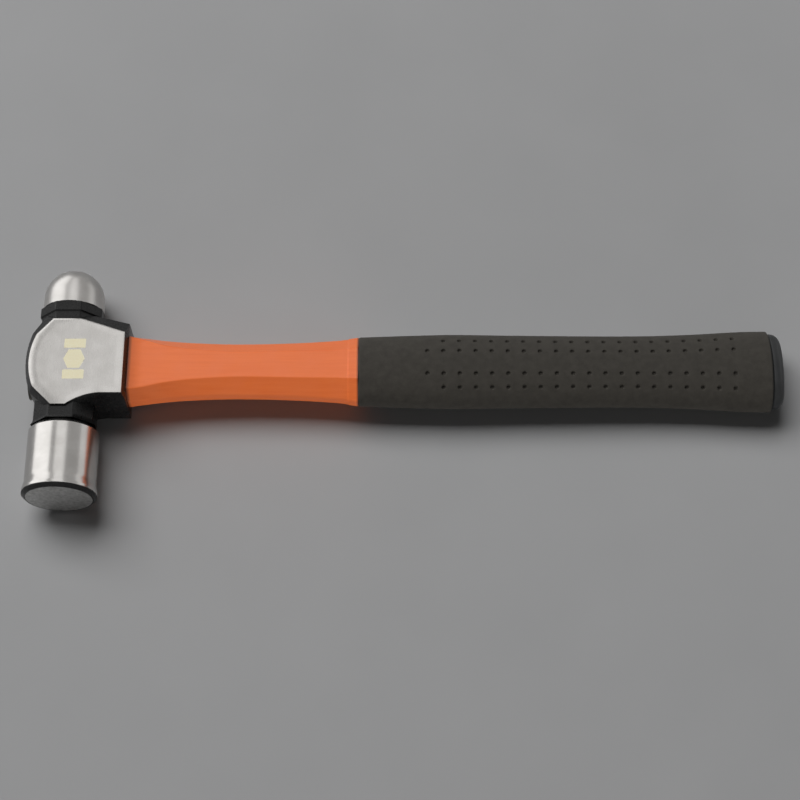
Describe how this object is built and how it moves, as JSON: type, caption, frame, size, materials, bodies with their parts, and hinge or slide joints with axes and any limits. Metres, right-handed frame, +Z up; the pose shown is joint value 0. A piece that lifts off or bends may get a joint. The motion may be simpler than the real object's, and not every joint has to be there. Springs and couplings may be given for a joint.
{
  "type": "ball peen hammer",
  "caption": "Ball peen hammer: forged steel head with round poll and domed pein, on a jacketed glass-fibre handle with a long dimpled rubber grip.",
  "frame": {"origin": "on the surface that the hammer lies on, under the middle of its length and of its head", "axes": "+X along the handle from the head to the butt, -Y out of the striking face and +Y out of the ball, +Z up, square to the flat cheeks"},
  "size_m": [0.35, 0.1148, 0.0342],
  "materials": {
    "head_steel": "satin",
    "glass_fibre": "satin",
    "epoxy": "gloss",
    "orange_jacket": "satin",
    "grip_rubber": "matte",
    "cap_plastic": "satin"
  },
  "bodies": {
    "root": {"head_forging": "head_steel", "core_rod": "glass_fibre", "eye_resin": "epoxy", "handle_jacket": "orange_jacket", "grip_sleeve": "grip_rubber", "butt_cap": "cap_plastic"}
  },
  "joints": []
}
